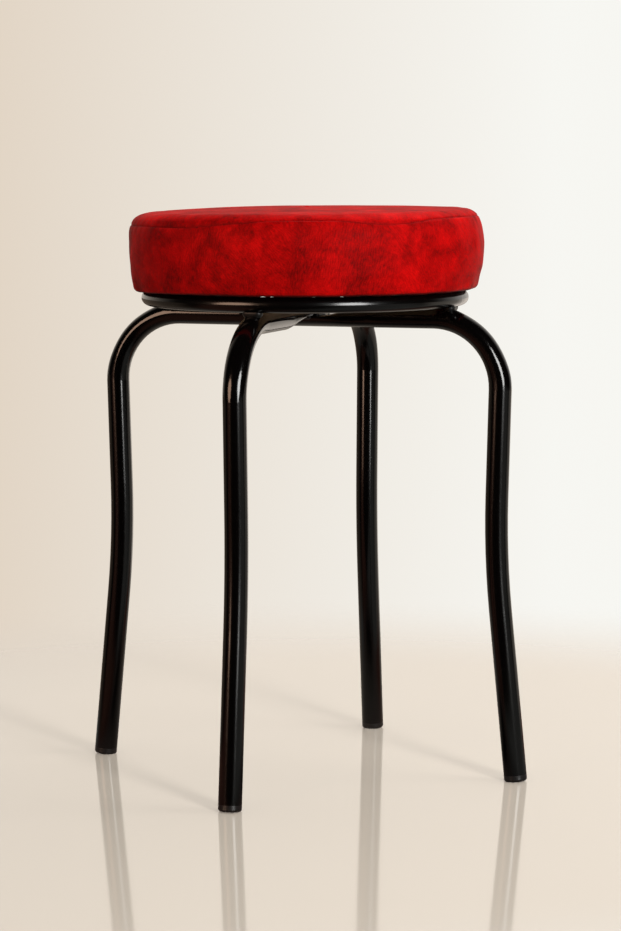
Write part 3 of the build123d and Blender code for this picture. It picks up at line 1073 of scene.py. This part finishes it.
def shell_mesh(name, rows, seam_shades, thickness, closed_top):
    """Closed skin of a thickness from a grid of outer points, with each point's share of painted seam
    shade.
    """
    inner = [
        [point - normal * thickness for point, normal in zip(row, line)]
        for row, line in zip(rows, grid_normals(rows))
    ]
    form = bmesh.new()
    # Painted seam shade, kept on the mesh for the vinyl's colour
    seam_shade_layer = form.verts.layers.float.new("seam_shade")
    outer_verts = [[form.verts.new(point) for point in row] for row in rows]
    inner_verts = [[form.verts.new(point) for point in row] for row in inner]
    for line, depths in zip(outer_verts, seam_shades):
        for vert, depth in zip(line, depths):
            vert[seam_shade_layer] = depth
    add_quads(form, outer_verts, False)
    add_quads(form, inner_verts, True)
    if closed_top:
        add_fan(form, outer_verts[-1], False)
        add_fan(form, inner_verts[-1], True)
    add_quads(form, [outer_verts[0], inner_verts[0]], True)
    if not closed_top:
        add_quads(form, [outer_verts[-1], inner_verts[-1]], False)
    return finish_mesh(name, form)


def finish_mesh(name, form):
    """Object of a mesh form, shaded smooth."""
    bmesh.ops.recalc_face_normals(form, faces=form.faces[:])
    mesh = bpy.data.meshes.new(name)
    form.to_mesh(mesh)
    form.free()
    mesh.shade_smooth()
    piece = bpy.data.objects.new(name, mesh)
    bpy.context.scene.collection.objects.link(piece)
    return piece


# Stage

FLOOR_SIZE = 6.0
FLOOR_ROUGHNESS = 0.07
FLOOR_FADE = (0.48, 0.95)
# Colours of the painted reflection that the floor glows with for gloss rays
PAINTED_FLOOR_FRONT = (0.012, 0.009, 0.008, 1.0)
PAINTED_FLOOR_LEFT = (0.2, 0.15, 0.11, 1.0)
PAINTED_FLOOR_RIGHT = (0.62, 0.56, 0.48, 1.0)
MIRRORED_FRONT = (0.012, 0.01, 0.008, 1.0)
MIRRORED_LEFT = (0.78, 0.68, 0.57, 1.0)
MIRRORED_RIGHT = (1.05, 1.0, 0.94, 1.0)
BACKDROP_LEFT = (0.75, 0.65, 0.54, 1.0)
BACKDROP_RIGHT = (0.93, 0.925, 0.885, 1.0)
AMBIENT = (1.0, 0.965, 0.92, 1.0)
AMBIENT_STRENGTH = 0.4
LAMP_TARGET = Vector((0.0, 0.0, 0.3))
SENSOR_WIDTH = 36.0


def view_axes():
    """Level directions to the right and away in the main view."""
    azimuth = bpy.context.scene.stool_stage.azimuth
    right = Vector((math.cos(azimuth), math.sin(azimuth), 0.0))
    away = Vector((-math.sin(azimuth), math.cos(azimuth), 0.0))
    return right, away


def painted_floor_reflection(tree, where, far):
    """Painted reflection that the floor glows with for gloss rays: dark in front, pale behind, and
    the glows.
    """
    right, away = view_axes()
    rear = shade(tree, along(tree, where, right), -0.6, 0.6, PAINTED_FLOOR_LEFT, PAINTED_FLOOR_RIGHT)
    mirrored = shade(tree, along(tree, where, away), -0.05, 0.2, PAINTED_FLOOR_FRONT, rear)
    for glow in PAINTED_FLOOR_GLOWS:
        tip = Vector(glow.direction) * glow.reach
        towards = vector_calc(tree, "ADD", where, tip)["Vector"]
        towards = vector_calc(tree, "NORMALIZE", towards)["Vector"]
        edge, core = (math.cos(math.radians(angle)) for angle in (glow.outer, glow.inner))
        sector = spread(tree, along(tree, towards, glow.direction), edge, core)
        shown = calc(tree, "MULTIPLY", sector, spread(tree, far, glow.near, glow.full))
        mirrored = blend(tree, shown, mirrored, glow.colour)
    return mirrored


def lay_floor():
    """Pale, glossy floor that fades into the background and isn't seen from below. For gloss rays it
    glows with a painted reflection in place of its shading.
    """
    form = bmesh.new()
    bmesh.ops.create_grid(form, x_segments=1, y_segments=1, size=FLOOR_SIZE)
    floor = finish_mesh("floor", form)
    material, tree, shader, where = new_material("Pale floor")
    paths = put(tree, "ShaderNodeLightPath").outputs
    set_shader(tree, shader, Base_Color=colour_of("floor"), Roughness=FLOOR_ROUGHNESS)
    far = vector_calc(tree, "LENGTH", where)["Value"]
    # Painted reflection: for gloss rays the floor glows with painted colours in place of its shading
    mirrored = put(tree, "ShaderNodeEmission", {"Color": painted_floor_reflection(tree, where, far)})
    seen = mix_shaders(tree, paths["Is Glossy Ray"], shader.outputs[0], mirrored.outputs[0])
    rim = spread(tree, far, *FLOOR_FADE, interpolation_type="SMOOTHSTEP")
    under = put(tree, "ShaderNodeNewGeometry").outputs["Backfacing"]
    share = calc(tree, "MULTIPLY", calc(tree, "MAXIMUM", rim, under), paths["Is Camera Ray"])
    clear = put(tree, "ShaderNodeBsdfTransparent").outputs[0]
    mix = mix_shaders(tree, share, seen, clear)
    fill(tree, tree.nodes["Material Output"], {"Surface": mix})
    floor.data.materials.append(material)
    return floor


def background(tree, colour, strength=1.0):
    """Background shader of a colour."""
    return put(tree, "ShaderNodeBackground", {"Color": colour, "Strength": strength}).outputs[0]


def light_world(scene):
    """Pale backdrop and even light, mirrored as pale behind the stool and dark in front of it."""
    world = bpy.data.worlds.new("Pale studio")
    world.use_nodes = True
    tree = world.node_tree
    tree.nodes.clear()
    right, away = view_axes()
    paths = put(tree, "ShaderNodeLightPath").outputs
    where = put(tree, "ShaderNodeTexCoord").outputs["Generated"]
    aside = along(tree, where, right)
    behind = along(tree, where, away)
    rear = shade(tree, aside, -0.7, 0.7, MIRRORED_LEFT, MIRRORED_RIGHT)
    mirrored = shade(tree, behind, 0.25, 0.8, MIRRORED_FRONT, rear)
    backdrop = shade(tree, aside, -0.11, 0.08, BACKDROP_LEFT, BACKDROP_RIGHT)
    lit = background(tree, AMBIENT, AMBIENT_STRENGTH)
    unseen = mix_shaders(tree, paths["Is Glossy Ray"], lit, background(tree, mirrored))
    mix = mix_shaders(tree, paths["Is Camera Ray"], unseen, background(tree, backdrop))
    put(tree, "ShaderNodeOutputWorld", {"Surface": mix})
    scene.world = world


def all_but(piece):
    """Receivers of a light that is kept off one piece."""
    receivers = bpy.data.collections.new(f"All but {piece.name}")
    receivers.objects.link(piece)
    receivers.collection_objects[0].light_linking.link_state = "EXCLUDE"
    return receivers


def soft_light(lamp, gloss_for=None):
    """Light that either lights the stool, or only shows in the gloss of its receivers."""
    mirrored = gloss_for is not None
    light = bpy.data.lights.new(lamp.name, "AREA")
    light.shape = "ELLIPSE" if mirrored else "RECTANGLE"
    light.size, light.size_y = lamp.size
    light.energy = lamp.watts
    light.color = lamp.colour
    light.use_shadow = lamp.shadow
    holder = bpy.data.objects.new(lamp.name, light)
    holder.location = lamp.place
    holder.rotation_euler = (LAMP_TARGET - holder.location).to_track_quat("-Z", "Y").to_euler()
    holder.visible_camera = False
    holder.visible_glossy = mirrored
    holder.visible_diffuse = not mirrored
    holder.light_linking.receiver_collection = gloss_for
    bpy.context.scene.collection.objects.link(holder)


def place_camera(scene):
    """Camera of the main view."""
    view = scene.stool_stage
    up = Vector((0.0, 0.0, 1.0))
    right, away = view_axes()
    place = up * view.height - away * view.distance
    ahead = away * math.cos(view.yaw) + right * math.sin(view.yaw)
    right = right * math.cos(view.yaw) - away * math.sin(view.yaw)
    forward = ahead * math.cos(view.pitch) - up * math.sin(view.pitch)
    top = up * math.cos(view.pitch) + ahead * math.sin(view.pitch)
    side = right * math.cos(view.roll) + top * math.sin(view.roll)
    top = top * math.cos(view.roll) - right * math.sin(view.roll)
    lens = bpy.data.cameras.new("Camera")
    lens.lens = view.lens
    lens.sensor_width = SENSOR_WIDTH
    lens.clip_start = 0.05
    lens.clip_end = 60.0
    camera = bpy.data.objects.new("Camera", lens)
    turn = Matrix((side, top, -forward)).transposed().to_4x4()
    camera.matrix_world = Matrix.Translation(place) @ turn
    scene.collection.objects.link(camera)
    scene.camera = camera


# Operators


class STOOL_OT_frame(bpy.types.Operator):
    """Lacquers the leg tubes, ring, lugs and welds"""

    bl_idname = "stool.frame"
    bl_label = "Steel frame"

    def execute(self, context):
        lugs = [f"seat_lug_{number}" for number in range(1, 5)]
        smooth = lacquer_material("Frame lacquer", dull=0.13)
        dress(["side_leg_tube", "front_leg_tube", *lugs], smooth)
        dress(["seat_ring"], lacquer_material("Ring lacquer", dull=0.2))
        lumpy = lacquer_material("Weld lacquer", dull=0.42, peel_scale=380.0, peel_strength=0.2)
        dress(["ring_welds", "crossing_welds", "lug_welds"], lumpy)
        return {"FINISHED"}


class STOOL_OT_foot_caps(bpy.types.Operator):
    """Finishes the plastic foot caps"""

    bl_idname = "stool.foot_caps"
    bl_label = "Foot caps"

    def execute(self, context):
        sides = ("front", "back", "left", "right")
        dress([f"foot_cap_{side}" for side in sides], cap_material())
        return {"FINISHED"}


class STOOL_OT_seat_board(bpy.types.Operator):
    """Finishes the plywood board, its screws and the tacks of the hem"""

    bl_idname = "stool.seat_board"
    bl_label = "Seat board"

    def execute(self, context):
        dress(["seat_board"], plywood_material())
        dress(["seat_screws", "hem_tacks"], zinc_material())
        return {"FINISHED"}


class STOOL_OT_side_band(bpy.types.Operator):
    """Makes the vinyl band round the seat, turned under the board"""

    bl_idname = "stool.side_band"
    bl_label = "Side band"

    def execute(self, context):
        sizes = context.scene.stool_seat
        outline, rows, grid = SeatForm.get()
        count = rows.index(outline.seam) + 1
        seam_shades = seam_shade_rows(outline, rows[:count], sizes, True)
        band = shell_mesh("seat_side_band", grid[:count], seam_shades, sizes.vinyl, False)
        band.data.materials.append(vinyl_material("Vinyl band", wrapped=True, dull=0.6))
        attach(band, BODY)
        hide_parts("cover_side_band")
        return {"FINISHED"}


class STOOL_OT_top_panel(bpy.types.Operator):
    """Makes the crowned vinyl top"""

    bl_idname = "stool.top_panel"
    bl_label = "Top panel"

    def execute(self, context):
        sizes = context.scene.stool_seat
        outline, rows, grid = SeatForm.get()
        first = rows.index(outline.seam)
        seam_shades = seam_shade_rows(outline, rows[first:], sizes, False)
        panel = shell_mesh("seat_top_panel", grid[first:], seam_shades, sizes.vinyl, True)
        panel.data.materials.append(vinyl_material("Vinyl top", wrapped=False, dull=0.62))
        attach(panel, BODY)
        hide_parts("cover_top_panel", "seat_foam")
        return {"FINISHED"}


class STOOL_OT_stage(bpy.types.Operator):
    """Sets the pale floor, the light and the camera"""

    bl_idname = "stool.stage"
    bl_label = "Stage"

    def execute(self, context):
        scene = context.scene
        off_floor = all_but(lay_floor())
        light_world(scene)
        for lamp in LAMPS:
            soft_light(lamp)
        for lamp in GLOSS_LAMPS:
            soft_light(lamp, off_floor)
        place_camera(scene)
        scene.view_settings.view_transform = "Standard"
        return {"FINISHED"}


class STOOL_PT_build(bpy.types.Panel):
    """Lists the steps that dress the stool"""

    bl_idname = "STOOL_PT_build"
    bl_label = "Round kitchen stool"
    bl_space_type = "VIEW_3D"
    bl_region_type = "UI"
    bl_category = "Stool"

    def draw(self, context):
        scene = context.scene
        for step in STEPS:
            self.layout.operator(step.bl_idname)
        for group in (scene.stool_seat, scene.stool_colours, scene.stool_stage):
            for name in group.__annotations__:
                self.layout.prop(group, name)


STEPS = (
    STOOL_OT_frame,
    STOOL_OT_foot_caps,
    STOOL_OT_seat_board,
    STOOL_OT_side_band,
    STOOL_OT_top_panel,
    STOOL_OT_stage,
)
CLASSES = (SeatSizes, Colours, StageSettings, *STEPS, STOOL_PT_build)


def register():
    for each in CLASSES:
        bpy.utils.register_class(each)
    bpy.types.Scene.stool_seat = PointerProperty(type=SeatSizes)
    bpy.types.Scene.stool_colours = PointerProperty(type=Colours)
    bpy.types.Scene.stool_stage = PointerProperty(type=StageSettings)


def unregister():
    del bpy.types.Scene.stool_stage
    del bpy.types.Scene.stool_colours
    del bpy.types.Scene.stool_seat
    for each in reversed(CLASSES):
        bpy.utils.unregister_class(each)


def main():
    register()
    bpy.ops.stool.frame()
    bpy.ops.stool.foot_caps()
    bpy.ops.stool.seat_board()
    bpy.ops.stool.side_band()
    bpy.ops.stool.top_panel()
    bpy.ops.stool.stage()


if __name__ == "__main__":
    main()
